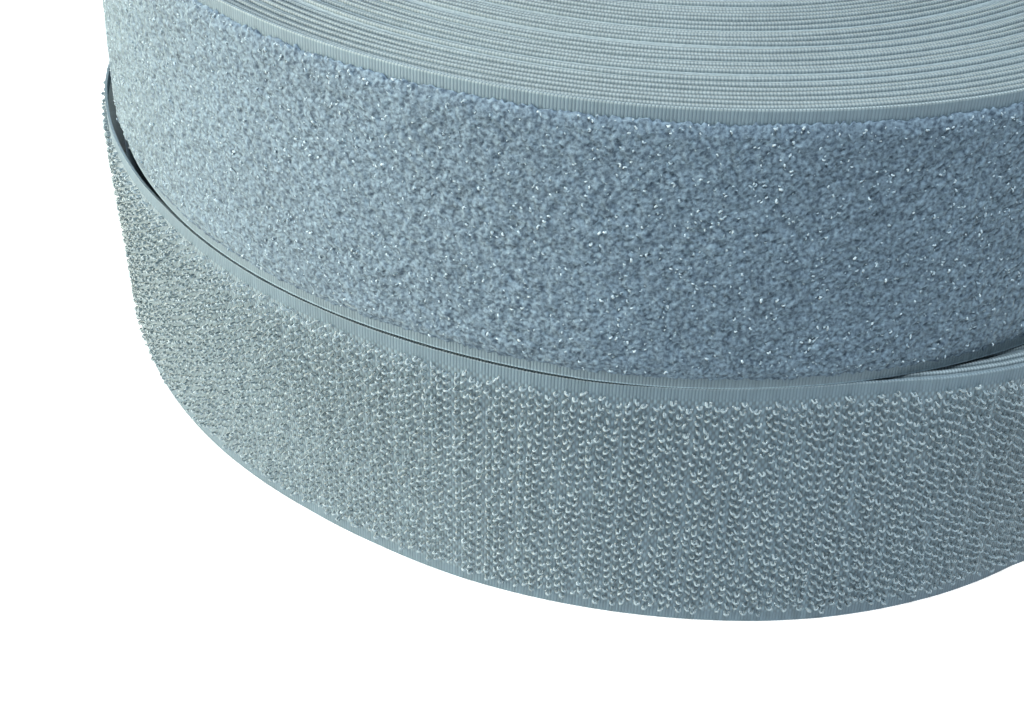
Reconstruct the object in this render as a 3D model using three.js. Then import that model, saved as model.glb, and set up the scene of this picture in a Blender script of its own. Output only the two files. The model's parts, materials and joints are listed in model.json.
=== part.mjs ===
// A pair of hook and loop tape rolls, as it stands on a table: the hook tape roll below and the loop
// tape roll on top, set a little off its middle. Millimetres, +Z up, origin on the table under the
// middle of the hook roll. Each roll is a cardboard core, an adhesive strip that holds the first turn,
// a plain pack of inner turns, the outer turns as one unbroken spiral, and the free tail of the tape.

import * as THREE from "three";

// Tape, the same on both rolls
const tapeWidth = 50;
const turnGap = 0.45;
const outerTurns = 5;
const turnSteps = 48;

// Hook roll: hooks stand free on the outermost turn and are pressed down under each other turn
const hookRollRadius = 123.4;
const hookBase = 0.5;
const hookFreeHeight = 1.3;
const hookPressedHeight = 0.7;
const hookUpperSelvedge = 2.4;
const hookLowerSelvedge = 2;
const hookTailLength = 72;
const hookTailEndDegrees = 72;

// Loop roll, its pile free or pressed in the same way
const loopRollRadius = 114.7;
const loopBase = 0.45;
const pileFreeHeight = 1.3;
const pilePressedHeight = 0.55;
const loopUpperSelvedge = 2.3;
const loopLowerSelvedge = 1.5;
const loopTailLength = 72;
const loopTailEndDegrees = 158;
const loopRollShiftX = -6.3;
const loopRollShiftY = -9;

// Cores
const coreBoreRadius = 38;
const coreWall = 4;

// Start strip between the core and the first turn
const stripThickness = 0.3;
const stripWidth = 40;
const stripLength = 25;

// Clearances
const seatGap = 0.3;
const endGap = 0.3;
const rollGap = 0.3;

const hookRoll = {
  name: "hook",
  radius: hookRollRadius,
  base: hookBase,
  freeHeight: hookFreeHeight,
  pressedHeight: hookPressedHeight,
  upperSelvedge: hookUpperSelvedge,
  lowerSelvedge: hookLowerSelvedge,
  tailLength: hookTailLength,
  tailEndDegrees: hookTailEndDegrees,
  material: new THREE.MeshStandardMaterial({ color: 0x647a8c, roughness: 0.62, metalness: 0 }),
};

const loopRoll = {
  name: "loop",
  radius: loopRollRadius,
  base: loopBase,
  freeHeight: pileFreeHeight,
  pressedHeight: pilePressedHeight,
  upperSelvedge: loopUpperSelvedge,
  lowerSelvedge: loopLowerSelvedge,
  tailLength: loopTailLength,
  tailEndDegrees: loopTailEndDegrees,
  material: new THREE.MeshStandardMaterial({ color: 0x6b8298, roughness: 0.85, metalness: 0 }),
};

const cardboard = new THREE.MeshStandardMaterial({ color: 0xb59a76, roughness: 0.9, metalness: 0 });
const adhesive = new THREE.MeshStandardMaterial({ color: 0xd9d3bd, roughness: 0.5, metalness: 0 });

const turnAngle = 2 * Math.PI;
const angleSlack = 1e-6;
const coreRadius = coreBoreRadius + coreWall;
const stripRadius = coreRadius + seatGap;
const packBoreRadius = stripRadius + stripThickness + seatGap;

function polar(radius, angle) {
  return new THREE.Vector2(radius * Math.cos(angle), radius * Math.sin(angle));
}

// The winding of one roll: angles grow outwards along the tape, and the tail ends at tailEnd.
function windingOf(roll) {
  const pitch = roll.base + roll.pressedHeight + turnGap;
  const tailEnd = THREE.MathUtils.degToRad(roll.tailEndDegrees);
  const tailRoot = tailEnd - roll.tailLength / roll.radius;
  const start = tailEnd - outerTurns * turnAngle;
  const lastInnerRadius = roll.radius - roll.freeHeight - roll.base;
  const innerRadiusAt = (angle) => lastInnerRadius + (pitch * (angle - tailEnd)) / turnAngle;
  const fieldHeightAt = (angle) =>
    angle > tailEnd - turnAngle + angleSlack ? roll.freeHeight : roll.pressedHeight;
  return { start, tailRoot, tailEnd, innerRadiusAt, fieldHeightAt };
}

// Angles from one end of a stretch to the other, on the steps that every turn shares.
function stretchAngles(winding, from, to) {
  const step = turnAngle / turnSteps;
  const shortestShare = 0.05;
  const angles = [from];
  for (let i = 1; winding.start + i * step < to - shortestShare * step; i += 1) {
    const angle = winding.start + i * step;
    if (angle > from + shortestShare * step) angles.push(angle);
  }
  angles.push(to);
  return angles;
}

// The tape's section, as [height above its inner face, place across its width]: a woven base with a
// bare selvedge at each edge, and the raised field of hooks or pile between them.
function tapeSection(roll, fieldHeight) {
  const raised = roll.base + fieldHeight;
  const fieldTop = tapeWidth - roll.upperSelvedge;
  return [
    [0, 0],
    [roll.base, 0],
    [roll.base, roll.lowerSelvedge],
    [raised, roll.lowerSelvedge],
    [raised, fieldTop],
    [roll.base, fieldTop],
    [roll.base, tapeWidth],
    [0, tapeWidth],
  ];
}

// One unbroken length of tape along the winding, closed at both ends.
function ribbon(roll, winding, from, to) {
  const angles = stretchAngles(winding, from, to);
  const endSection = tapeSection(roll, roll.freeHeight);
  const sides = endSection.length;
  const positions = [];
  const faces = [];
  for (const angle of angles) {
    for (const [height, across] of tapeSection(roll, winding.fieldHeightAt(angle))) {
      const place = polar(winding.innerRadiusAt(angle) + height, angle);
      positions.push(place.x, place.y, across);
    }
  }
  for (let i = 0; i < angles.length - 1; i += 1) {
    for (let k = 0; k < sides; k += 1) {
      const next = (k + 1) % sides;
      const a = i * sides + k;
      const b = i * sides + next;
      const c = (i + 1) * sides + next;
      const d = (i + 1) * sides + k;
      faces.push(a, d, b, b, d, c);
    }
  }
  const outline = endSection.map(([height, across]) => new THREE.Vector2(height, across));
  const lastRing = (angles.length - 1) * sides;
  for (const [a, b, c] of THREE.ShapeUtils.triangulateShape(outline, [])) {
    faces.push(a, b, c);
    faces.push(lastRing + a, lastRing + c, lastRing + b);
  }
  const geometry = new THREE.BufferGeometry();
  geometry.setAttribute("position", new THREE.Float32BufferAttribute(positions, 3));
  geometry.setIndex(faces);
  geometry.computeVertexNormals();
  return geometry;
}

// The least gap between one turn of the spiral and the next, measured on its points.
function leastGap(winding, roll) {
  const angles = stretchAngles(winding, winding.start, winding.tailRoot);
  const inner = angles.map((angle) => polar(winding.innerRadiusAt(angle), angle));
  let least = Infinity;
  angles.forEach((angle, i) => {
    const raised = roll.base + winding.fieldHeightAt(angle);
    const tip = polar(winding.innerRadiusAt(angle) + raised, angle);
    for (let j = i + turnSteps - 2; j <= i + turnSteps + 1 && j + 1 < inner.length; j += 1) {
      const nearest = closestOnSegment(inner[j], inner[j + 1], tip);
      least = Math.min(least, nearest.distanceTo(tip));
    }
  });
  return least;
}

function closestOnSegment(a, b, point) {
  const along = new THREE.Vector2().subVectors(b, a);
  const share = new THREE.Vector2().subVectors(point, a).dot(along) / along.lengthSq();
  return a.clone().addScaledVector(along, THREE.MathUtils.clamp(share, 0, 1));
}

// The inner turns as one plain ring, whose outside follows the spiral and steps down where the
// outer turns start.
function innerPack(winding) {
  const angles = stretchAngles(winding, winding.start, winding.start + turnAngle);
  const outline = angles.map((angle) => polar(winding.innerRadiusAt(angle) - turnGap, angle));
  const shape = new THREE.Shape(outline);
  shape.holes.push(new THREE.Path(circlePoints(packBoreRadius, winding.start)));
  return new THREE.ExtrudeGeometry(shape, { depth: tapeWidth, bevelEnabled: false });
}

function circlePoints(radius, from) {
  const points = [];
  for (let i = 0; i < turnSteps; i += 1) {
    points.push(polar(radius, from + (i * turnAngle) / turnSteps));
  }
  return points;
}

function core() {
  const profile = [
    new THREE.Vector2(coreBoreRadius, 0),
    new THREE.Vector2(coreRadius, 0),
    new THREE.Vector2(coreRadius, tapeWidth),
    new THREE.Vector2(coreBoreRadius, tapeWidth),
    new THREE.Vector2(coreBoreRadius, 0),
  ];
  return new THREE.LatheGeometry(profile, turnSteps).rotateX(Math.PI / 2);
}

// The adhesive strip, bent round the core at the angle where the winding starts.
function startStrip(winding) {
  const steps = 6;
  const spread = stripLength / stripRadius;
  const inner = [];
  const outer = [];
  for (let i = 0; i <= steps; i += 1) {
    const angle = winding.start + (spread * i) / steps;
    inner.push(polar(stripRadius, angle));
    outer.push(polar(stripRadius + stripThickness, angle));
  }
  const shape = new THREE.Shape([...outer, ...inner.reverse()]);
  const edge = (tapeWidth - stripWidth) / 2;
  return new THREE.ExtrudeGeometry(shape, { depth: stripWidth, bevelEnabled: false }).translate(0, 0, edge);
}

function named(name, geometry, material) {
  const mesh = new THREE.Mesh(geometry, material);
  mesh.name = name;
  return mesh;
}

function buildRoll(roll) {
  const winding = windingOf(roll);
  const turnsStart = winding.start + endGap / winding.innerRadiusAt(winding.start);
  const turnsEnd = winding.tailRoot - endGap / roll.radius;
  const turns = ribbon(roll, winding, turnsStart, turnsEnd);
  const tail = ribbon(roll, winding, winding.tailRoot, winding.tailEnd);
  const group = new THREE.Group();
  group.add(named(`${roll.name}_core`, core(), cardboard));
  group.add(named(`${roll.name}_start_strip`, startStrip(winding), adhesive));
  group.add(named(`${roll.name}_inner_pack`, innerPack(winding), roll.material));
  group.add(named(`${roll.name}_outer_turns`, turns, roll.material));
  group.add(named(`${roll.name}_tail`, tail, roll.material));
  console.log(`${roll.name} roll: least gap between turns ${leastGap(winding, roll).toFixed(3)} mm`);
  return group;
}

const rolls = new THREE.Group();
rolls.add(buildRoll(hookRoll));

const upper = buildRoll(loopRoll);
upper.position.set(loopRollShiftX, loopRollShiftY, tapeWidth + rollGap);
rolls.add(upper);

export default rolls;
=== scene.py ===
# A pair of hook and loop tape rolls on a white table: the loop roll stands on the hook roll.
# Sizes are in millimetres, and a piece's points become metres when it is made. The camera, the table
# and the lamps are placed in metres.

import json
import math
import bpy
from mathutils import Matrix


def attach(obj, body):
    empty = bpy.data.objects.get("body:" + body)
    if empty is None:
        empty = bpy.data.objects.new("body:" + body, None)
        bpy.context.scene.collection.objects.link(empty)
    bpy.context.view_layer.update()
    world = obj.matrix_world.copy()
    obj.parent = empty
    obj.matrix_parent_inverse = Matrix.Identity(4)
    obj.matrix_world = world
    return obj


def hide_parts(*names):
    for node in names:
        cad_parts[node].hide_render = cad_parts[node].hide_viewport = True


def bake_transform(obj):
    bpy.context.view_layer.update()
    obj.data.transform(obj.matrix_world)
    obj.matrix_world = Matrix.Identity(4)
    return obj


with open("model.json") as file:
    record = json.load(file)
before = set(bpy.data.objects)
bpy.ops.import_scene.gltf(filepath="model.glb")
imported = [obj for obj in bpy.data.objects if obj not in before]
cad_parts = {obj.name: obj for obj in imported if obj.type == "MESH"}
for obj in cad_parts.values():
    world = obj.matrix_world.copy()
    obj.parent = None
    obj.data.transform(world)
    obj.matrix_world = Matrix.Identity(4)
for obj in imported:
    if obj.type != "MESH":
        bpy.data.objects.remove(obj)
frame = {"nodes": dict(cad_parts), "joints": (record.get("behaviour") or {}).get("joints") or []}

from types import SimpleNamespace

import bpy
import numpy as np

MM = 0.001
TURN = 2 * math.pi
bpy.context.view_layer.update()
bpy.ops.object.select_all(action="DESELECT")


# Camera, where the photograph was taken from

CAMERA_PLACE = (-0.0353, -0.3555, 0.2215)
LOOKING_DOWN = 35.25
CAMERA_ROLL = 1.98
LENS = 63.24
SENSOR = 36


def add_camera():
    bpy.ops.object.camera_add(location=CAMERA_PLACE)
    camera = bpy.context.active_object
    camera.rotation_mode = "ZYX"
    camera.rotation_euler = (math.radians(90 - LOOKING_DOWN), 0, math.radians(CAMERA_ROLL))
    camera.data.sensor_width = SENSOR
    camera.data.lens = LENS
    camera.data.clip_start = 0.01
    bpy.context.scene.camera = camera


add_camera()


# The two rolls, with the sizes of the CAD source

TAPE_WIDTH = 50
TURN_GAP = 0.45
TAIL_LENGTH = 72
CORE_BORE_RADIUS = 38
CORE_RADIUS = 42
PACK_BORE_RADIUS = 42.9


def roll_of(**sizes):
    roll = SimpleNamespace(**sizes)
    roll.pitch = roll.base + roll.pressed + TURN_GAP
    roll.last_inner = roll.radius - roll.free - roll.base
    roll.tail_root = roll.tail_end - TAIL_LENGTH / roll.radius
    roll.field_start = roll.tail_end - TURN
    roll.winding_start = roll.tail_end - TURN * (roll.last_inner - PACK_BORE_RADIUS) / roll.pitch
    roll.front = (roll.tail_end + math.pi / 2) / TURN
    return roll


hook_roll = roll_of(
    name="hook", body="hook_roll", tail_body="hook_free_end", centre=(0, 0), floor=0,
    radius=123.4, base=0.5, free=1.3, pressed=0.7, upper_selvedge=2.4, lower_selvedge=2,
    tail_end=math.radians(72), seed=11,
)
loop_roll = roll_of(
    name="loop", body="loop_roll", tail_body="loop_free_end", centre=(-6.3, -9), floor=50.3,
    radius=114.7, base=0.45, free=1.3, pressed=0.55, upper_selvedge=2.3, lower_selvedge=1.5,
    tail_end=math.radians(158), seed=23,
)


# How the turns lie: real tape is never wound quite evenly

# From the outermost turn inwards, at the front: how far each turn stands out and up
hook_roll.turn_out = [0, 0.05, -0.05, 0.05, 0, 0.1, -0.1, 0.1, 0.15, -0.1, 0.1, 0, -0.15, 0.1, 0, 0]
hook_roll.turn_up = [
    0, -0.15, -0.3, -0.1, -0.35, -0.8, -0.2, -0.1, -0.3, -0.2, -0.9, -0.1, -0.3, -0.2, -0.1, -0.7,
]
loop_roll.turn_out = [
    -0.05, -0.05, 0.05, -0.1, 0, 0.05, -0.25, -0.3, -0.25, -0.3, 0.1, 0.35, 0.15, 0.3, 0.25,
    0.3, 0.4, 0.35, 0.4, 0.3, 0.4, 0.3, 0.25, 0.3, 0.1, 0,
]
loop_roll.turn_up = [
    0, -0.15, -0.1, -0.25, -0.1, -0.2, -0.35, 0.15, -0.8, -0.3, -0.1, -0.3, -0.15, -0.1, -0.2,
    -0.8, -0.15, -0.2, -0.1, -0.75, -0.2, -0.1, -0.25, -0.1, -0.3, -0.7,
]

# By angle in degrees: how far the outermost turn's lower edge is lifted, and its upper edge flared out
NOWHERE = [[-180, 180], [0, 0]]
hook_roll.lower_lift = NOWHERE
hook_roll.upper_flare = [
    [-222, -210, -200, -190, -180, -170, -160, -150, -142, -134, -124],
    [0, 0, 0.2, 0.9, 1.7, 2.2, 2.1, 1.7, 1.1, 0.5, 0.1],
]
loop_roll.lower_lift = [
    [-202, -190, -180, -166, -158, -150, -142, -134, -120, -108, -100, -96, -92, -85, -75, -60, 0],
    [0, 0.3, 0.4, 0.5, 0.7, 0.75, 0.5, 0.42, 0.53, 0.63, 0.47, 0.2, -0.1, -0.2, -0.1, 0.1, 0],
]
loop_roll.upper_flare = NOWHERE

# By angle in degrees: how far every turn is out of round, at its upper and at its lower edge
hook_roll.upper_out = [
    [-152, -145, -140, -135, -130, -115, -105, -100, -95, -91, -87, -80, -76, -73, -66, -58, -45, -25],
    [0, 0.1, 0.7, 1.3, 1.65, 1.7, 1.5, 1.15, 0.45, 0, -0.6, -1.3, -0.9, -0.1, 0.86, 0.9, 0.5, 0],
]
hook_roll.lower_out = [
    [-150, -139, -133, -127, -119, -111, -104, -97, -90, -85, -80, -75, -69, -65, -61, -45, -25],
    [0, -0.2, -0.5, -0.8, -0.7, -0.1, 0.2, 0.5, 0.8, 1.0, 0.95, 0.6, 0, -0.6, -1.4, -0.9, 0],
]
loop_roll.upper_out = NOWHERE
loop_roll.lower_out = [[-115, -103, -99, -92, -85], [0, 0.5, 0.7, 0.2, 0]]

# The turns further in, down to the core: every sixth lies low, and the others vary a little
TURNS_LISTED = 50
LOW_TURN = -0.9
for roll in (hook_roll, loop_roll):
    luck = np.random.default_rng(roll.seed)
    while len(roll.turn_up) < TURNS_LISTED:
        roll.turn_up.append(LOW_TURN if len(roll.turn_up) % 6 == 3 else -0.35 * luck.random())
        roll.turn_out.append(0.25 * (luck.random() - 0.5))

# Slow waves along the tape: how far, how many to a radian, and where they start
OUT_WAVES = [(0.07, 3.31, 0.5), (0.04, 8.93, 0)]
UP_WAVES = [(0.10, 2.37, 0), (0.07, 5.71, 1), (0.04, 13.3, 2)]

# The turns lie evenly at the core, and as unevenly as anywhere from this far out
CALM_DEPTH = 6


def inner_radius(roll, angle):
    return roll.last_inner + roll.pitch * (angle - roll.tail_end) / TURN


def arc_of(roll, angle):
    """Length of tape from the tail's end, less than zero inwards."""
    turned = angle - roll.tail_end
    return roll.last_inner * turned + roll.pitch * turned**2 / (2 * TURN)


def angle_of(roll, arc):
    root = np.sqrt(roll.last_inner**2 + 2 * roll.pitch * arc / TURN)
    return roll.tail_end + (root - roll.last_inner) * TURN / roll.pitch


def smooth(share):
    share = np.clip(share, 0, 1)
    return share * share * (3 - 2 * share)


def waves(table, angle):
    return sum(height * np.sin(rate * angle + start) for height, rate, start in table)


def unevenness(roll, angle):
    """How far a turn stands out, and how far its upper edge stands up, at each angle."""
    turns_in = (roll.tail_end - angle) / TURN
    marks = np.arange(len(roll.turn_out)) + roll.front
    calm = smooth((inner_radius(roll, angle) - PACK_BORE_RADIUS) / CALM_DEPTH)
    out = np.interp(turns_in, marks, roll.turn_out) * calm + waves(OUT_WAVES, angle)
    up = np.interp(turns_in, marks, roll.turn_up) + waves(UP_WAVES, angle)
    return out, up


def on_roll(roll, angle, height, across):
    """Places on the roll in metres: height above the tape's inner face, across from its lower edge."""
    out, up = unevenness(roll, angle)
    degrees = np.degrees(angle)
    outermost = angle >= roll.field_start
    lift = np.interp(degrees, *roll.lower_lift) * outermost
    flare = np.interp(degrees, *roll.upper_flare) * outermost
    share = smooth(across / TAPE_WIDTH)
    outwards = smooth((inner_radius(roll, angle) - PACK_BORE_RADIUS) / (roll.last_inner - PACK_BORE_RADIUS))
    upper_out = np.interp(degrees, *roll.upper_out, period=360)
    lower_out = np.interp(degrees, *roll.lower_out, period=360)
    out += (upper_out * share + lower_out * (1 - share)) * outwards
    radius = inner_radius(roll, angle) + out + flare * share + height
    x = roll.centre[0] + radius * np.cos(angle)
    y = roll.centre[1] + radius * np.sin(angle)
    z = roll.floor + across + up * share + lift * (1 - share)
    return np.stack([x, y, z], -1) * MM


# Making and finishing pieces

def coordinates(piece):
    points = np.empty(len(piece.data.vertices) * 3)
    piece.data.vertices.foreach_get("co", points)
    return points.reshape(-1, 3)


def set_coordinates(piece, points):
    piece.data.vertices.foreach_set("co", points.ravel())
    piece.data.update()


def finish_piece(piece, name, materials, body):
    piece.name = name
    piece.data.name = name
    for material in materials:
        piece.data.materials.append(material)
    piece.select_set(False)
    if body == "tail":
        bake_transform(piece)
    else:
        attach(piece, body)
    return piece


def apply_modifier(piece, kind, **settings):
    modifier = piece.modifiers.new(kind.title(), kind)
    for key, value in settings.items():
        setattr(modifier, key, value)
    bpy.context.view_layer.objects.active = piece
    bpy.ops.object.modifier_apply(modifier=modifier.name)


def flat_strip(steps, rows):
    """A flat grid, and for each of its points the step along it and the row across it."""
    bpy.ops.mesh.primitive_grid_add(x_subdivisions=steps, y_subdivisions=rows, size=1)
    strip = bpy.context.active_object
    flat = coordinates(strip) + 0.5
    return strip, np.rint(flat[:, 0] * steps).astype(int), np.rint(flat[:, 1] * rows).astype(int)


def mark_tape(strip, along, across, second):
    """The UV map holds millimetres along the tape and across it. Faces whose middle lies between the two
    places across that second gives take the piece's second material."""
    corners = np.empty(len(strip.data.loops), dtype=np.int32)
    strip.data.loops.foreach_get("vertex_index", corners)
    places = np.stack([along[corners], across[corners]], -1).astype(np.float32)
    strip.data.uv_layers.active.name = "Tape"
    strip.data.uv_layers.active.uv.foreach_set("vector", places.ravel())
    if second:
        middles = across[corners].reshape(-1, 4).mean(1)
        within = (middles > second[0]) & (middles < second[1])
        strip.data.polygons.foreach_set("material_index", within.astype(np.int32))


# The ribs of the weave: from one to the next, their height in the mesh, and how far they reach past the
# tape's two edges, as a share of that height
RIB_PITCH = 0.55
RIB_HEIGHT = 0.05
RIB_REACH_SHARE = 1.6


def wound_strip(roll, start, end, step, rows, height, thickness, weave=0, second=None):
    """A strip of tape laid flat, wound onto the roll from one angle to another, and thickened."""
    first, last = arc_of(roll, start), arc_of(roll, end)
    steps = math.ceil((last - first) / step)
    strip, column, row = flat_strip(steps, len(rows) - 1)
    along = first + (last - first) * column / steps
    across = np.array(rows, float)[row]
    ribs = weave * np.abs(np.sin(math.pi * along / RIB_PITCH))
    edge = np.where(row == 0, -1, 0) + np.where(row == len(rows) - 1, 1, 0)
    places = on_roll(roll, angle_of(roll, along), height + ribs, across + RIB_REACH_SHARE * ribs * edge)
    set_coordinates(strip, places)
    mark_tape(strip, along, across, second)
    bpy.ops.object.shade_smooth()
    apply_modifier(strip, "SOLIDIFY", thickness=thickness * MM, offset=1)
    if weave:
        bpy.ops.object.shade_smooth_by_angle(angle=math.radians(60))
    return strip


def copies(form, places, frames, sizes, shades):
    """One mesh with a copy of the form at each place, turned by its frame and scaled by its size."""
    points = coordinates(form)
    sides = [list(face.vertices) for face in form.data.polygons]
    shaped = points[None] * sizes[:, None, :]
    turned = np.einsum("nij,njk->nik", shaped, frames) + places[:, None, :]
    count = len(points)
    starts = count * np.arange(len(places))[:, None, None]
    numbered = []
    for length in sorted({len(side) for side in sides}):
        faces = np.array([side for side in sides if len(side) == length])
        numbered += (faces[None] + starts).reshape(-1, length).tolist()
    mesh = bpy.data.meshes.new(form.name)
    mesh.from_pydata(turned.reshape(-1, 3), [], numbered)
    mesh.shade_smooth()
    shade = mesh.attributes.new("shade", "FLOAT", "POINT")
    shade.data.foreach_set("value", np.repeat(shades, count).astype(np.float32))
    piece = bpy.data.objects.new(form.name, mesh)
    bpy.context.scene.collection.objects.link(piece)
    return piece


def tape_frames(angle, heading, lean_along, lean_up):
    """Rows of a frame: heading in the tape's face, the side, and outwards, leaned a little."""
    out = np.stack([np.cos(angle), np.sin(angle), 0 * angle], -1)
    along = np.stack([-np.sin(angle), np.cos(angle), 0 * angle], -1)
    up = np.array([0.0, 0.0, 1.0])
    standing = out + lean_along[:, None] * along + lean_up[:, None] * up
    standing /= np.linalg.norm(standing, axis=1, keepdims=True)
    ahead = np.cos(heading)[:, None] * along + np.sin(heading)[:, None] * up
    side = np.cross(standing, ahead)
    side /= np.linalg.norm(side, axis=1, keepdims=True)
    return np.stack([np.cross(side, standing), side, standing], 1)


# Shader nodes

def add(tree, kind, inputs=None, **settings):
    node = tree.nodes.new(kind)
    for key, value in settings.items():
        setattr(node, key, value)
    for key, value in (inputs or {}).items():
        if isinstance(value, bpy.types.NodeSocket):
            tree.links.new(value, node.inputs[key])
        else:
            node.inputs[key].default_value = value
    return node


def math_of(tree, operation, first, second=0.0):
    return add(tree, "ShaderNodeMath", {0: first, 1: second}, operation=operation).outputs[0]


def product(tree, first, *others):
    for other in others:
        first = math_of(tree, "MULTIPLY", first, other)
    return first


def shared(tree, first, second, second_share):
    """A sum of two numbers that gives the second one this share of the whole."""
    return math_of(tree, "ADD", product(tree, first, 1 - second_share), product(tree, second, second_share))


def ranged(tree, value, low, high, from_low=0.0, from_high=1.0):
    return add(tree, "ShaderNodeMapRange", {
        "Value": value, "From Min": from_low, "From Max": from_high, "To Min": low, "To Max": high,
    }).outputs["Result"]


def mask(tree, value, none, full):
    """0 at one value and 1 at the other, with a soft change between them."""
    return add(tree, "ShaderNodeMapRange", {
        "Value": value, "From Min": none, "From Max": full,
    }, interpolation_type="SMOOTHSTEP").outputs["Result"]


def mixed(tree, share, first, second):
    node = add(tree, "ShaderNodeMix", {"Factor": share}, data_type="RGBA")
    for key, value in (("A", first), ("B", second)):
        socket = [s for s in node.inputs if s.name == key and s.type == "RGBA"][0]
        if isinstance(value, bpy.types.NodeSocket):
            tree.links.new(value, socket)
        else:
            socket.default_value = (*value, 1)
    return [s for s in node.outputs if s.type == "RGBA"][0]


# Shader node groups that more than one material uses

# Places across the tape where its masks begin and end
# The painted highlight along the upper edge ends here; each material gives how far down it reaches
UPPER_EDGE = TAPE_WIDTH - 0.02
# Band of the lowest edge that is painted lighter as a highlight, or darker as a shade, by each material
LOWER_EDGE = (0.25, 0.15)
# Band of the lower rim that the covered turns darken as a painted shade
SHADED_RIM = (3.2, 2.5)
FIELD_FROM_MIDDLE = (23.3, 22.4)

WARP_PITCH = 0.85


def start_group(name, vector_input, number_inputs, outputs):
    tree = bpy.data.node_groups.new(name, "ShaderNodeTree")
    tree.interface.new_socket(vector_input, in_out="INPUT", socket_type="NodeSocketVector")
    for socket in number_inputs:
        tree.interface.new_socket(socket, in_out="INPUT", socket_type="NodeSocketFloat")
    for socket in outputs:
        tree.interface.new_socket(socket, in_out="OUTPUT", socket_type="NodeSocketFloat")
    return tree, tree.nodes.new("NodeGroupInput").outputs, tree.nodes.new("NodeGroupOutput").inputs


def weft_ribs_group():
    """The ribs that the weft makes, a value of its own for each yarn, and masks by the place across: for the
    painted highlight on the upper edge, the painted highlight or painted shade on the lowest edge, the
    painted shade on the lower rim, and the field.
    """
    outputs = ["Ribs", "Yarn", "Edge", "Field", "Lower edge", "Rim", "Weave"]
    tree, given, made = start_group("Weft ribs", "Tape", ["Pitch", "Edge width"], outputs)
    parts = add(tree, "ShaderNodeSeparateXYZ", {0: given["Tape"]}).outputs
    turns = math_of(tree, "DIVIDE", parts["X"], given["Pitch"])
    weft = math_of(tree, "SINE", product(tree, turns, math.pi))
    warp = math_of(tree, "SINE", product(tree, parts["Y"], math.pi / WARP_PITCH))
    yarn = add(tree, "ShaderNodeTexWhiteNoise", {"W": math_of(tree, "FLOOR", turns)}, noise_dimensions="1D")
    highlight_start = math_of(tree, "SUBTRACT", UPPER_EDGE, given["Edge width"])
    from_middle = math_of(tree, "ABSOLUTE", math_of(tree, "SUBTRACT", parts["Y"], TAPE_WIDTH / 2))
    results = {
        "Ribs": math_of(tree, "ABSOLUTE", weft),
        "Yarn": yarn.outputs["Value"],
        "Edge": mask(tree, parts["Y"], highlight_start, UPPER_EDGE),
        "Field": mask(tree, from_middle, *FIELD_FROM_MIDDLE),
        "Lower edge": mask(tree, parts["Y"], *LOWER_EDGE),
        "Rim": mask(tree, parts["Y"], *SHADED_RIM),
        "Weave": math_of(tree, "ADD", product(tree, warp, weft, 0.5), 0.5),
    }
    for output, value in results.items():
        tree.links.new(value, made[output])
    return tree


def shade_drift_group():
    """Slow changes of shade over a roll, fine grain, and tufts of fibre, all from 0 to 1."""
    tree, given, made = start_group(
        "Shade drift", "Place", ["Drift size", "Grain size"], ["Drift", "Grain", "Tufts"]
    )
    tuft_scale = math_of(tree, "DIVIDE", 0.8, given["Grain size"])
    cells = add(tree, "ShaderNodeTexVoronoi", {"Vector": given["Place"], "Scale": tuft_scale})
    tree.links.new(ranged(tree, cells.outputs["Distance"], 0, 1, 0.75, 0.1), made["Tufts"])
    for output, size, detail in (("Drift", "Drift size", 2), ("Grain", "Grain size", 4)):
        scale = math_of(tree, "DIVIDE", 1.0, given[size])
        noise = add(tree, "ShaderNodeTexNoise", {"Vector": given["Place"], "Scale": scale, "Detail": detail})
        tree.links.new(noise.outputs["Fac"], made[output])
    return tree


weft_ribs = weft_ribs_group()
shade_drift = shade_drift_group()


def place_group(tree, group, inputs):
    return add(tree, "ShaderNodeGroup", inputs, node_tree=group).outputs


def drift_of(tree, drift_size, grain_size):
    place = add(tree, "ShaderNodeTexCoord").outputs["Object"]
    sizes = {"Drift size": drift_size * MM, "Grain size": grain_size * MM}
    return place_group(tree, shade_drift, {"Place": place, **sizes})


# Materials

YARN_SHEEN = (0.93, 0.98, 0.95, 1)
FUZZ_SHEEN = (0.87, 0.98, 0.93, 1)


def start_material(name, **surface):
    material = bpy.data.materials.new(name)
    material.use_nodes = True
    tree = material.node_tree
    shader = tree.nodes["Principled BSDF"]
    for key, value in surface.items():
        shader.inputs[key.replace("_", " ").title().replace("Ior", "IOR")].default_value = value
    return material, tree, shader.inputs


def add_bump(tree, surface, height, strength, distance):
    inputs = {"Height": height, "Strength": strength, "Distance": distance * MM}
    tree.links.new(add(tree, "ShaderNodeBump", inputs).outputs["Normal"], surface["Normal"])


def colour_surface(tree, surface, colour, value):
    shaded = add(tree, "ShaderNodeHueSaturation", {"Value": value, "Color": colour})
    tree.links.new(shaded.outputs["Color"], surface["Base Color"])


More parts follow.
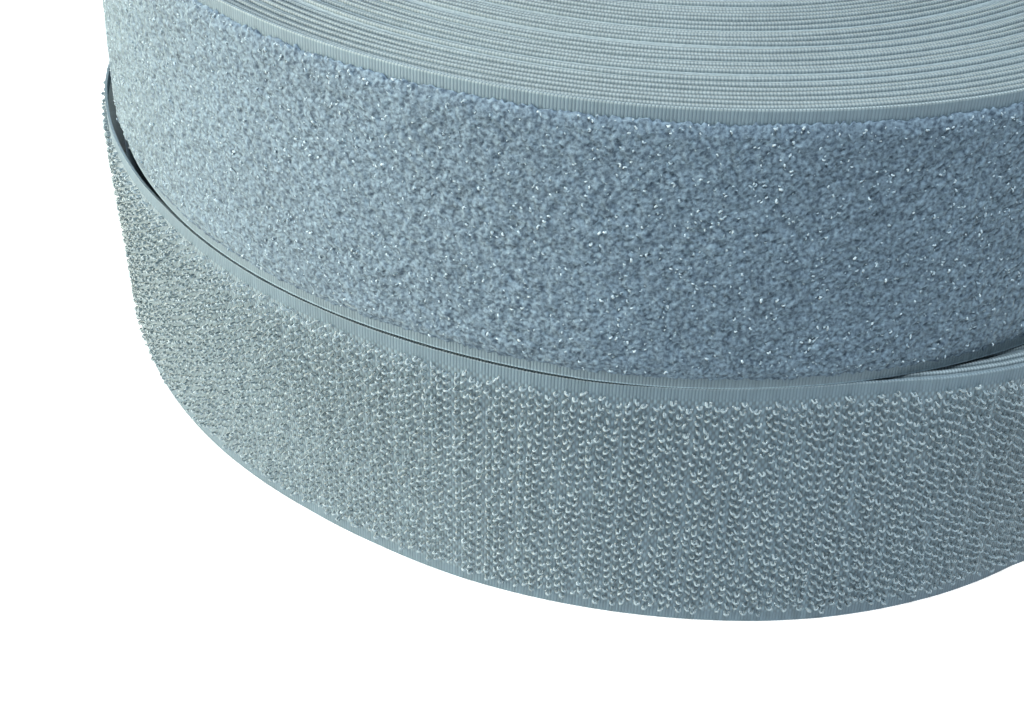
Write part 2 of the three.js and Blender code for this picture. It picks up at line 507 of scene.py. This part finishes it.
def tape_material(name, dark, light, highlight_colour, highlight_width, rim_painted_shade=1.0, lower_edge_painted_light=0.2, sheen=0.1):
    """The woven base of a tape: ribbed by its weft, with a painted highlight along its upper edge, its lowest
    edge lightened as a painted highlight or darkened as a painted shade as the caller gives, and its lower
    rim darkened as a painted shade.
    """
    material, tree, surface = start_material(
        name, roughness=0.55, sheen_weight=sheen, sheen_roughness=0.4, sheen_tint=YARN_SHEEN
    )
    tape = add(tree, "ShaderNodeUVMap", uv_map="Tape").outputs["UV"]
    ribs = place_group(tree, weft_ribs, {"Tape": tape, "Pitch": RIB_PITCH, "Edge width": highlight_width})
    drift = drift_of(tree, 24, 0.35)
    woven = mixed(tree, ribs["Ribs"], dark, light)
    # The upper edge takes a paler colour: a painted highlight where light falls on the top of the tape
    highlighted = mixed(tree, ribs["Edge"], woven, mixed(tree, ribs["Ribs"], dark, highlight_colour))
    uneven = shared(tree, ribs["Yarn"], drift["Drift"], 0.6)
    crossing = product(tree, ribs["Field"], math_of(tree, "SUBTRACT", ribs["Weave"], 0.5), 0.7)
    value = product(
        # The lowest edge: above 1 a painted highlight, below 1 a painted shade
        tree, ranged(tree, uneven, 0.82, 1.16), ranged(tree, ribs["Lower edge"], 1.0, lower_edge_painted_light),
        # The lower rim: darkened as a painted shade where the value is below 1
        ranged(tree, ribs["Rim"], 1.0, rim_painted_shade), math_of(tree, "ADD", crossing, 1.0),
    )
    colour_surface(tree, surface, highlighted, value)
    tree.links.new(ranged(tree, ribs["Ribs"], 0.7, 0.5), surface["Roughness"])
    height = math_of(tree, "ADD", ribs["Ribs"], product(tree, drift["Grain"], 0.35))
    add_bump(tree, surface, height, 0.6, 0.07)
    return material


def yarn_material(name, dark, light, roughness, drift_size, shine):
    """Single filaments, each of its own shade."""
    material, tree, surface = start_material(
        name, roughness=roughness, sheen_weight=1.0, sheen_roughness=0.45, sheen_tint=YARN_SHEEN,
        specular_ior_level=shine,
    )
    shade = add(tree, "ShaderNodeAttribute", attribute_name="shade").outputs["Fac"]
    drift = drift_of(tree, drift_size, 0.3)
    tree.links.new(mixed(tree, shared(tree, shade, drift["Drift"], 0.25), dark, light), surface["Base Color"])
    tree.links.new(ranged(tree, drift["Grain"], roughness - 0.08, roughness + 0.12), surface["Roughness"])
    return material


def fuzz_material(name, dark, light, sheen):
    """A dense mass of fine filaments: mottled, matt, with a sheen at a low angle."""
    material, tree, surface = start_material(
        name, roughness=0.85, sheen_weight=sheen, sheen_roughness=0.35, sheen_tint=FUZZ_SHEEN
    )
    drift = drift_of(tree, 18, 0.6)
    share = shared(tree, ranged(tree, drift["Grain"], 0, 1, 0.36, 0.64), drift["Tufts"], 0.45)
    colour_surface(tree, surface, mixed(tree, share, dark, light), ranged(tree, drift["Drift"], 0.88, 1.12))
    add_bump(tree, surface, share, 0.8, 0.12)
    return material


# Height that the board's spiral lap climbs in one turn
LAP_CLIMB = 62


def board_material(centre):
    """Grey-brown board wound from paper: pressed fibres and the spiral lap of its plies."""
    material, tree, surface = start_material(f"core_board_{centre[0]:.0f}", roughness=0.88)
    place = add(tree, "ShaderNodeTexCoord").outputs["Object"]
    offset = (-centre[0] * MM, -centre[1] * MM, 0)
    moved = add(tree, "ShaderNodeMapping", {"Vector": place, "Location": offset})
    parts = add(tree, "ShaderNodeSeparateXYZ", {0: moved.outputs["Vector"]}).outputs
    turn = math_of(tree, "DIVIDE", math_of(tree, "ARCTAN2", parts["Y"], parts["X"]), TURN)
    climb = product(tree, parts["Z"], 1 / (LAP_CLIMB * MM))
    lap = math_of(tree, "FRACT", math_of(tree, "ADD", turn, climb))
    seam = ranged(tree, lap, 0, 1, 0.0, 0.012)
    fibres = add(tree, "ShaderNodeTexNoise", {"Vector": place, "Scale": 420, "Detail": 6}).outputs["Fac"]
    pulp = add(tree, "ShaderNodeTexNoise", {"Vector": place, "Scale": 60, "Detail": 3}).outputs["Fac"]
    flecked = mixed(tree, ranged(tree, fibres, 0, 1, 0.35, 0.7), (0.34, 0.24, 0.14), (0.52, 0.39, 0.24))
    seamed = mixed(tree, seam, (0.22, 0.15, 0.09), flecked)
    colour_surface(tree, surface, seamed, ranged(tree, pulp, 0.8, 1.15))
    add_bump(tree, surface, math_of(tree, "ADD", product(tree, fibres, 0.3), seam), 0.5, 0.15)
    return material


def adhesive_material():
    material, tree, surface = start_material("adhesive_strip", roughness=0.5)
    drift = drift_of(tree, 6, 0.4)
    tree.links.new(mixed(tree, drift["Grain"], (0.62, 0.57, 0.42), (0.74, 0.7, 0.56)), surface["Base Color"])
    tree.links.new(ranged(tree, drift["Drift"], 0.35, 0.6), surface["Roughness"])
    return material


# The band across the tape that its hooks or pile stand on
GROUND = (2.2, TAPE_WIDTH - 2.6)

# The hook tape's lowest edge is painted a little paler: a painted highlight
HOOK_TAPE_COLOURS = {
    "dark": (0.105, 0.16, 0.207), "light": (0.152, 0.224, 0.275), "highlight_colour": (0.25, 0.33, 0.38),
    "highlight_width": 0.25, "lower_edge_painted_light": 1.15,
}
hook_tape = tape_material("hook_tape_weave", **HOOK_TAPE_COLOURS, sheen=0.05)
hook_ground = tape_material("hook_tape_under_hooks", **HOOK_TAPE_COLOURS, sheen=0.9)
# The covered turns are painted paler than the outer tape: painted light in the gaps between turns, where
# shade falls
hook_edges = tape_material(
    # The lower rim and lowest edge of the covered turns are darkened: painted shade where they meet what is
    # below
    "hook_wound_edges", (0.15, 0.205, 0.245), (0.2, 0.27, 0.31), (0.34, 0.43, 0.475), 1.1, rim_painted_shade=0.3
)
# The loop tape's lowest edge is painted much paler: a painted highlight along it
loop_tape = tape_material(
    "loop_tape_weave", (0.128, 0.186, 0.232), (0.172, 0.245, 0.296), (0.36, 0.45, 0.49), 0.35,
    lower_edge_painted_light=1.6, sheen=0.03,
)
loop_edges = tape_material(
    # Painted shade on the lower rim and lowest edge, as on the hook roll
    "loop_wound_edges", (0.165, 0.225, 0.265), (0.225, 0.295, 0.338), (0.325, 0.4, 0.428), 1.4, rim_painted_shade=0.3
)
pressed_hooks = fuzz_material("pressed_hooks", (0.13, 0.18, 0.215), (0.22, 0.29, 0.335), 0.15)
# Painted paler than the pile mat: painted light in the gaps between the turns
pressed_pile = fuzz_material("pressed_pile", (0.265, 0.338, 0.375), (0.365, 0.445, 0.48), 0.15)
pile_fuzz = fuzz_material("loop_pile_mat", (0.033, 0.06, 0.096), (0.26, 0.37, 0.475), 0.8)
# The pile mat's lowest faces, a tenth darker and without sheen: a painted shade where the pile curves under
shaded_pile_edge_fuzz = fuzz_material("loop_pile_edge_painted_shade", (0.03, 0.054, 0.086), (0.234, 0.333, 0.428), 0.0)
hook_yarn = yarn_material("hook_filament", (0.17, 0.24, 0.29), (0.32, 0.41, 0.465), 0.55, 20, 0.5)
# The curls are painted far paler than the pile mat: partly their own pale fibre, partly a painted highlight
# that stands for glints
pile_yarn = yarn_material("loop_pile_yarn", (0.2, 0.3, 0.39), (0.57, 0.7, 0.79), 0.34, 16, 0.15)
adhesive = adhesive_material()

hook_roll.tape, hook_roll.wound, hook_roll.packed = [hook_tape, hook_ground], hook_edges, pressed_hooks
loop_roll.tape, loop_roll.wound, loop_roll.packed = [loop_tape], loop_edges, pressed_pile

# The band of the outermost turn and the tail that takes the tape's second material
hook_roll.second = GROUND
loop_roll.second = None


# Cores and windings

# Length of one face along the tape: on a covered turn, and in the pressed layer
COVERED_STEP = 5.2
PRESSED_STEP = 5.5

# The turned weft makes a covered turn's edges thicker than its base
EDGE_BULGE = 0.17

# Places across the tape, from its edge: a row of points that keeps the edge crisp, the end of a covered
# turn's flat part, and the upper side of the pressed layer
EDGE_ROW = 0.35
FLAT_END = 2
PRESSED_BELOW_EDGE = 0.55

CORE_ROUNDING = 0.35
PEEL_BEND = 20


def core_tube(roll):
    """The board core: a rolled tube with its cut ends a little rounded."""
    depth = TAPE_WIDTH * MM
    middle = (roll.centre[0] * MM, roll.centre[1] * MM, roll.floor * MM + depth / 2)
    bpy.ops.mesh.primitive_cylinder_add(
        vertices=128, radius=CORE_RADIUS * MM, depth=depth, end_fill_type="NOTHING", location=middle
    )
    tube = bpy.context.active_object
    bpy.ops.object.transform_apply(location=True)
    wall = (CORE_RADIUS - CORE_BORE_RADIUS) * MM
    apply_modifier(tube, "SOLIDIFY", thickness=wall, offset=-1, use_even_offset=True)
    apply_modifier(
        tube, "BEVEL", width=CORE_ROUNDING * MM, segments=3, limit_method="ANGLE",
        angle_limit=math.radians(50),
    )
    bpy.ops.object.shade_smooth_by_angle(angle=math.radians(40))
    finish_piece(tube, f"{roll.name}_core_tube", [board_material(roll.centre)], roll.body)
    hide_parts(f"{roll.name}_core")


def windings(roll):
    """The covered turns of the tape as one spiral, with the pressed hooks or pile between them."""
    end = roll.field_start
    rows = [0, EDGE_ROW, TAPE_WIDTH - FLAT_END, TAPE_WIDTH - EDGE_ROW, TAPE_WIDTH]
    turns = wound_strip(roll, roll.winding_start, end, COVERED_STEP, rows, 0, roll.base + EDGE_BULGE)
    finish_piece(turns, f"{roll.name}_covered_turns", [roll.wound], roll.body)
    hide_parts(f"{roll.name}_inner_pack", f"{roll.name}_outer_turns")
    end += roll.tail_root - roll.tail_end
    rows = [roll.lower_selvedge, TAPE_WIDTH - PRESSED_BELOW_EDGE]
    packed = wound_strip(roll, roll.winding_start, end, PRESSED_STEP, rows, roll.base, roll.pressed)
    finish_piece(packed, f"{roll.name}_pressed_layer", [roll.packed], roll.body)


def outer_strip(roll, start, end):
    rows = [0, EDGE_ROW, *GROUND, TAPE_WIDTH - EDGE_ROW, TAPE_WIDTH]
    return wound_strip(
        roll, start, end, RIB_PITCH / 4, rows, 0, roll.base, weave=RIB_HEIGHT, second=roll.second
    )


def outer_tape(roll):
    """The outermost turn and the free tail, whose ribs are in the mesh."""
    turn = outer_strip(roll, roll.field_start, roll.tail_root)
    finish_piece(turn, f"{roll.name}_outermost_turn", roll.tape, roll.body)
    tail = outer_strip(roll, roll.tail_root, roll.tail_end)
    finish_piece(tail, f"{roll.name}_tail_tape", roll.tape, "tail")
    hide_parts(f"{roll.name}_tail")


def place_peel(roll, joint_name):
    """The hinge of the tail's peel, and a point a short stretch further along the tape from it."""
    joint = next(j for j in frame["joints"] if j["name"] == joint_name)
    hinge = np.array(joint["pos_m"], float)
    along = np.array([-math.sin(roll.tail_root), math.cos(roll.tail_root), 0])
    roll.peel_start = tuple(hinge)
    roll.peel_end = tuple(hinge + PEEL_BEND * MM * along)


place_peel(hook_roll, "hook_tail_peel")
place_peel(loop_roll, "loop_tail_peel")
for roll in (hook_roll, loop_roll):
    core_tube(roll)
    windings(roll)
    outer_tape(roll)
    strip = frame["nodes"][f"{roll.name}_start_strip"]
    strip.data.materials.clear()
    strip.data.materials.append(adhesive)


# Hooks

# A group of four columns repeats along the tape: where each stands, how far its rows are raised, and
# the degrees that its hooks turn to
HOOK_GROUP = 5.7
HOOK_COLUMNS = [0.7, 1.54, 2.8, 4.26]
HOOK_LIFTS = [1.6, 0.61, 1.51, 0.99]
HOOK_HEADINGS = [162, 0, -7, 13]
HOOK_ROW_PITCH = 1.7
HOOK_ROWS = 28
HOOKS_MISSING = 0.008
FIRST_ROW = -1.3
BARE_STRIPS = (0.2, 0.1)

# How much the hooks differ: in their place and size, in degrees of heading, and in their lean
HOOK_SCATTER = SimpleNamespace(
    along=0.1, across=0.11, heading=22, lean_along=0.22, lean_up=0.16, size=0.06,
)
HOOK_SIZES = (0.85, 1.12)
HOOK_TALLEST = 1.02

HOOK_WIRE = 0.19
HOOK_STEM = 0.76
CROOK_RADIUS = 0.33
CROOK_TURN = 205
STUB_WIRE = 0.18
STUB_PLACE = 0.7
STUB_HEIGHT = 0.36
ROOT_DEPTH = 0.05


def close_form():
    """Fills the open end that is selected, turns all faces outwards and leaves edit mode."""
    bpy.ops.mesh.edge_face_add()
    bpy.ops.mesh.select_all(action="SELECT")
    bpy.ops.mesh.normals_make_consistent(inside=False)
    bpy.ops.object.mode_set(mode="OBJECT")


def hook_form():
    """One hook cut open beside its crook: a short stub, and a stem whose crook is spun over towards it."""
    bpy.ops.mesh.primitive_circle_add(
        vertices=4, radius=STUB_WIRE * MM, fill_type="NGON", location=(STUB_PLACE * MM, 0, 0)
    )
    stub = bpy.context.active_object
    bpy.ops.object.transform_apply(location=True)
    bpy.ops.object.mode_set(mode="EDIT")
    bpy.ops.mesh.select_all(action="SELECT")
    bpy.ops.mesh.extrude_region_move(TRANSFORM_OT_translate={"value": (-0.03 * MM, 0, STUB_HEIGHT * MM)})
    bpy.ops.object.mode_set(mode="OBJECT")
    stub.select_set(False)
    bpy.ops.mesh.primitive_circle_add(vertices=4, radius=HOOK_WIRE * MM)
    form = bpy.context.active_object
    form.name = "hook_form"
    bpy.ops.object.mode_set(mode="EDIT")
    bpy.ops.mesh.select_all(action="SELECT")
    bpy.ops.mesh.extrude_region_move(TRANSFORM_OT_translate={"value": (0, 0, HOOK_STEM * MM)})
    bpy.ops.mesh.spin(
        steps=4, angle=-math.radians(CROOK_TURN), center=(CROOK_RADIUS * MM, 0, HOOK_STEM * MM),
        axis=(0, 1, 0),
    )
    close_form()
    stub.select_set(True)
    bpy.ops.object.join()
    return form


def hook_field(roll, start, end, standing):
    """Places, frames, sizes and shades of the hooks between two angles."""
    luck = np.random.default_rng(roll.seed + 1)
    first, last = arc_of(roll, start), arc_of(roll, end)
    group_numbers = np.arange(math.floor(first / HOOK_GROUP) - 1, math.ceil(last / HOOK_GROUP) + 1)
    grid = np.meshgrid(group_numbers, range(len(HOOK_COLUMNS)), range(HOOK_ROWS), indexing="ij")
    group, column, row = (numbers.ravel() for numbers in grid)
    count = len(group)
    along = group * HOOK_GROUP + np.array(HOOK_COLUMNS)[column]
    along = along + luck.normal(0, HOOK_SCATTER.along, count)
    across = roll.lower_selvedge + FIRST_ROW + row * HOOK_ROW_PITCH + np.array(HOOK_LIFTS)[column]
    across = across + luck.normal(0, HOOK_SCATTER.across, count)
    heading = np.radians(np.array(HOOK_HEADINGS)[column] + luck.normal(0, HOOK_SCATTER.heading, count))
    kept = (along >= first) & (along < last) & (luck.random(count) > HOOKS_MISSING)
    kept &= across > roll.lower_selvedge + BARE_STRIPS[0]
    kept &= across < TAPE_WIDTH - roll.upper_selvedge - BARE_STRIPS[1]
    along, across, heading = along[kept], across[kept], heading[kept]
    count = len(along)
    angle = angle_of(roll, along)
    places = on_roll(roll, angle, roll.base - ROOT_DEPTH, across)
    lean_along = luck.normal(0, HOOK_SCATTER.lean_along, count)
    lean_up = luck.normal(0, HOOK_SCATTER.lean_up, count)
    frames = tape_frames(angle, heading, lean_along, lean_up)
    size = luck.normal(1, HOOK_SCATTER.size, count).clip(*HOOK_SIZES)
    sizes = np.stack([size, size, np.minimum(size, HOOK_TALLEST) * standing], -1)
    return places, frames, sizes, luck.random(count)


def make_hooks(roll):
    form = hook_form()
    sectors = 4
    ends = np.linspace(roll.field_start, roll.tail_root, sectors + 1)
    pressed = roll.pressed / roll.free
    stretches = [(f"{i + 1}", ends[i], ends[i + 1], 1, roll.body) for i in range(sectors)]
    stretches.append(("tail", roll.tail_root, roll.tail_end, 1, "tail"))
    stretches.append(("under_tail", roll.tail_root - TURN, roll.field_start, pressed, roll.body))
    for name, start, end, standing, body in stretches:
        piece = copies(form, *hook_field(roll, start, end, standing))
        finish_piece(piece, f"hook_rows_{name}", [hook_yarn], body)
    bpy.data.objects.remove(form)


make_hooks(hook_roll)


# Pile

PILE_GRID = 0.5
PILE_LOWER_EDGE = 2.1
# Faces of the pile mat below this place across take the darker material, a painted shade
PILE_PAINTED_SHADE_EDGE = 2.85
PILE_HEIGHT = 1.0
PILE_LIMITS = (0.6, 1.3)
FINE_TUFTS = 0.15
COARSE_TUFTS = 0.05
RAGGED_EDGE = 0.22

# The mat falls away over this many faces at each edge, by this share of its height
EDGE_FACES = 5
EDGE_FALL_SHARE = 0.6

CURLS_PER_MM2 = 0.38
CURL_WIRE = 0.14
CURL_RADIUS = 0.2
CURL_HEIGHT = 0.86
CURL_HEIGHT_SCATTER = 0.1
CURL_LEAN_SCATTER = 0.75
SMALLEST_CURL = 0.55
CURL_SIZE_SPREAD = 0.75

# How far the curls stay above the mat's lower edge, and how far they reach past its upper one
CURL_MARGINS = (0.6, 0.3)


def pile_mat(roll, name, start, end, full, body):
    """The mass of the pile: a fine sheet on the tape, raised in random tufts, its edges turned down."""
    luck = np.random.default_rng(roll.seed + int(1000 * (start - roll.field_start + TURN)))
    first, last = arc_of(roll, start), arc_of(roll, end)
    steps = math.ceil((last - first) / PILE_GRID)
    low, high = PILE_LOWER_EDGE, TAPE_WIDTH - roll.upper_selvedge
    rows = math.ceil((high - low) / PILE_GRID) + 2
    strip, column, row = flat_strip(steps, rows)
    along = first + (last - first) * column / steps
    across = low + (high - low) * np.clip((row - 1) / (rows - 2), 0, 1)
    near_edge = 1 - smooth(np.minimum(row, rows - row) / EDGE_FACES)
    ragged = luck.normal(0, RAGGED_EDGE, (2, steps + 1))
    across = across + near_edge * np.where(row < rows / 2, ragged[0][column], ragged[1][column])
    fine = luck.normal(0, 1, (steps + 1, rows + 1))
    tufts = luck.normal(0, 1, (steps // 3 + 2, rows // 3 + 2)).repeat(3, 0).repeat(3, 1)
    raised = PILE_HEIGHT + FINE_TUFTS * fine[column, row] + COARSE_TUFTS * tufts[column, row]
    raised = np.clip(raised, *PILE_LIMITS) * (1 - EDGE_FALL_SHARE * near_edge) * full
    raised = np.where((row == 0) | (row == rows), 0.0, raised)
    set_coordinates(strip, on_roll(roll, angle_of(roll, along), roll.base + raised, across))
    # The lowest faces take the second material, which paints a shade on them
    mark_tape(strip, along, across, second=(0, PILE_PAINTED_SHADE_EDGE))
    bpy.ops.object.shade_smooth()
    finish_piece(strip, name, [pile_fuzz, shaded_pile_edge_fuzz], body)


def curl_form():
    """One curl of pile yarn: half a small ring of thick yarn."""
    bpy.ops.mesh.primitive_circle_add(vertices=4, radius=CURL_WIRE * MM)
    form = bpy.context.active_object
    form.name = "curl_form"
    bpy.ops.object.mode_set(mode="EDIT")
    bpy.ops.mesh.select_all(action="SELECT")
    bpy.ops.mesh.spin(steps=3, angle=-math.pi, center=(CURL_RADIUS * MM, 0, 0), axis=(0, 1, 0))
    close_form()
    return form


def curls(roll, form, name, start, end, standing, body):
    """Single curls on the pile, strewn over it and leaning every way."""
    luck = np.random.default_rng(roll.seed + int(1000 * (start + 20)))
    first, last = arc_of(roll, start), arc_of(roll, end)
    low = PILE_LOWER_EDGE + CURL_MARGINS[0]
    high = TAPE_WIDTH - roll.upper_selvedge + CURL_MARGINS[1]
    count = int((last - first) * (high - low) * CURLS_PER_MM2)
    angle = angle_of(roll, luck.uniform(first, last, count))
    height = roll.base + (CURL_HEIGHT + luck.normal(0, CURL_HEIGHT_SCATTER, count)) * standing
    places = on_roll(roll, angle, height, luck.uniform(low, high, count))
    lean_along, lean_up = luck.normal(0, CURL_LEAN_SCATTER, (2, count))
    frames = tape_frames(angle, luck.uniform(0, TURN, count), lean_along, lean_up)
    size = SMALLEST_CURL + CURL_SIZE_SPREAD * luck.random(count) ** 2
    sizes = np.stack([size, size, size * standing], -1)
    piece = copies(form, places, frames, sizes, luck.random(count))
    finish_piece(piece, name, [pile_yarn], body)


def make_pile(roll):
    form = curl_form()
    middle = (roll.field_start + roll.tail_root) / 2
    stretches = [
        ("1", roll.field_start, middle, 1, roll.body),
        ("2", middle, roll.tail_root, 1, roll.body),
        ("tail", roll.tail_root, roll.tail_end, 1, "tail"),
        ("under_tail", roll.tail_root - TURN, roll.field_start, roll.pressed / roll.free, roll.body),
    ]
    for name, start, end, standing, body in stretches:
        pile_mat(roll, f"loop_pile_{name}", start, end, standing, body)
        curls(roll, form, f"loop_curls_{name}", start, end, standing, body)
    bpy.data.objects.remove(form)


make_pile(loop_roll)


# Table, backdrop and light

TABLE_SIZE = 6
TABLE_DROP = 0.0002
LAMP_TARGET = (0, 0, 0.05)

# The share of full white that the table glows with beside the rolls, and the distances from their
# middle between which it grows to all of it
NEAR_GLOW_SHARE = 0.8
GLOW_DISTANCES = (0.35, 1.0)


def add_stage():
    """A white table that the camera sees glowing: fainter round the rolls, so that their shadow shows."""
    bpy.ops.mesh.primitive_plane_add(size=TABLE_SIZE, location=(0, 0, -TABLE_DROP))
    table = bpy.context.active_object
    table.name = "table"
    material, tree, surface = start_material("table_white", roughness=0.7)
    surface["Base Color"].default_value = (0.68, 0.73, 0.75, 1)
    shader = tree.nodes["Principled BSDF"]
    place = add(tree, "ShaderNodeTexCoord").outputs["Object"]
    distance = add(tree, "ShaderNodeVectorMath", {0: place}, operation="LENGTH").outputs["Value"]
    strength = ranged(tree, distance, NEAR_GLOW_SHARE, 1.0, *GLOW_DISTANCES)
    glow = add(tree, "ShaderNodeEmission", {"Color": (1, 1, 1, 1), "Strength": strength})
    both = add(tree, "ShaderNodeAddShader", {0: shader.outputs[0], 1: glow.outputs[0]})
    seen = add(tree, "ShaderNodeLightPath")
    rays = math_of(tree, "MAXIMUM", seen.outputs["Is Camera Ray"], seen.outputs["Is Glossy Ray"])
    mix = add(tree, "ShaderNodeMixShader", {0: rays, 1: shader.outputs[0], 2: both.outputs[0]})
    tree.links.new(mix.outputs[0], tree.nodes["Material Output"].inputs["Surface"])
    table.data.materials.append(material)


def add_world():
    """A dim, even room, with a white backdrop for the camera alone."""
    world = bpy.data.worlds.new("studio")
    bpy.context.scene.world = world
    world.use_nodes = True
    tree = world.node_tree
    tree.nodes.clear()
    rays = add(tree, "ShaderNodeLightPath").outputs["Is Camera Ray"]
    room = add(tree, "ShaderNodeBackground", {"Color": (0.9, 0.98, 1.05, 1), "Strength": 0.13})
    backdrop = add(tree, "ShaderNodeBackground", {"Color": (1, 1, 1, 1), "Strength": 1.0})
    sky = add(tree, "ShaderNodeMixShader", {0: rays, 1: room.outputs[0], 2: backdrop.outputs[0]})
    out = add(tree, "ShaderNodeOutputWorld")
    tree.links.new(sky.outputs[0], out.inputs[0])


def add_lamp(name, location, size, power, colour):
    """A round lamp that points at the middle of the rolls."""
    bpy.ops.object.light_add(type="AREA", location=location)
    lamp = bpy.context.active_object
    lamp.name = name
    lamp.data.shape = "DISK"
    lamp.data.size = size
    lamp.data.energy = power
    lamp.data.color = colour
    direction = np.array(LAMP_TARGET) - np.array(location)
    lamp.rotation_mode = "XYZ"
    flat = math.hypot(direction[0], direction[1])
    lamp.rotation_euler = (math.atan2(flat, -direction[2]), 0, math.atan2(-direction[0], direction[1]))


add_stage()
add_world()
add_lamp("window", (-1.5, -0.2, 0.22), size=1.0, power=50, colour=(1, 0.925, 0.74))
add_lamp("ceiling", (-0.03, -0.43, 1.15), size=0.4, power=15.5, colour=(0.9, 0.97, 1))
bpy.context.scene.view_settings.view_transform = "Standard"
